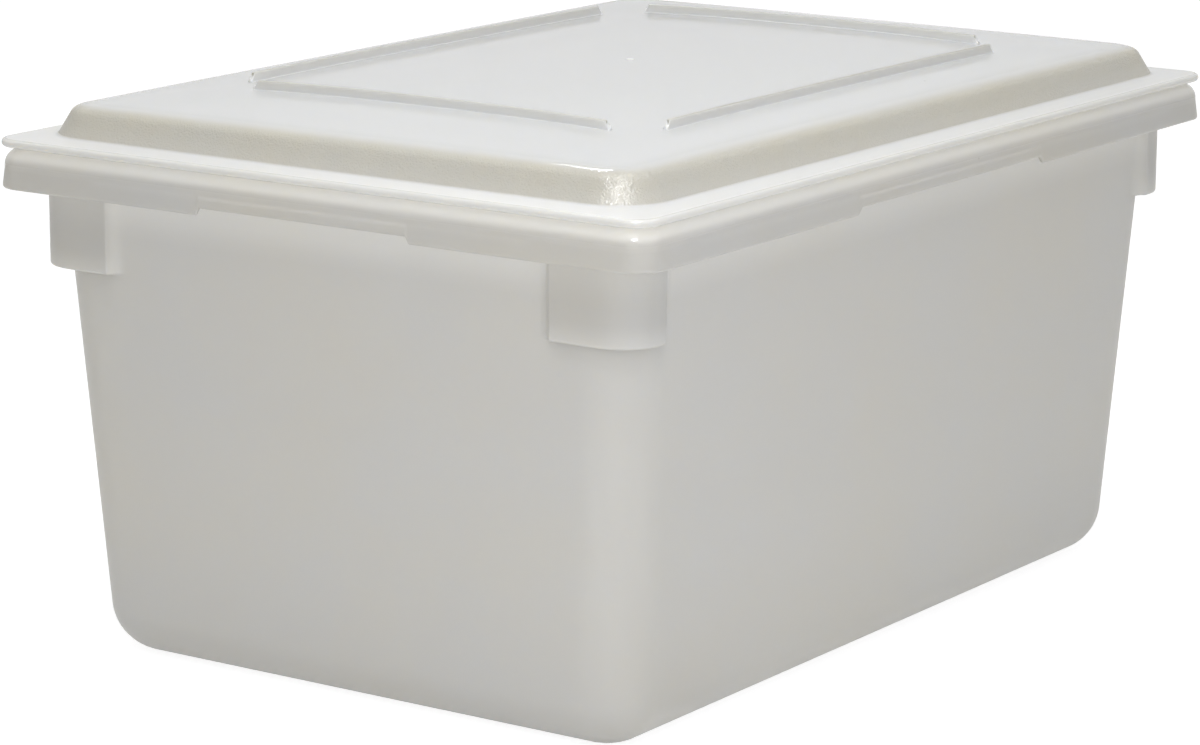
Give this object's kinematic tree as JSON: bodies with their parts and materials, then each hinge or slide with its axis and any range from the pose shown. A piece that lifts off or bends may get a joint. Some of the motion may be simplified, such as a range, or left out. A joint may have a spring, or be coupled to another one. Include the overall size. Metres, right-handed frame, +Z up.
{
  "type": "food storage box",
  "caption": "Large rectangular food storage tub with drafted walls, a skirted rim and corner lugs, closed by a lift-off crowned lid with stacking bars.",
  "frame": {"origin": "middle of the face that the tub stands on", "axes": "+Z up, +X along the long side, +Y along the short side"},
  "size_m": [0.65, 0.46, 0.3434],
  "materials": {
    "tub_plastic": "natural white polyethylene, translucent, satin moulded face",
    "lid_plastic": "natural white polyethylene, translucent, smooth panel with a fine stipple on the sloping wall"
  },
  "bodies": {
    "tub": {"tub": "tub_plastic"},
    "lid": {"lid": "lid_plastic"}
  },
  "joints": [
    {"name": "lid_lift", "type": "slide", "parent": "tub", "child": "lid", "axis": [0, 0, 1], "range_m": [0, 0.3]}
  ]
}
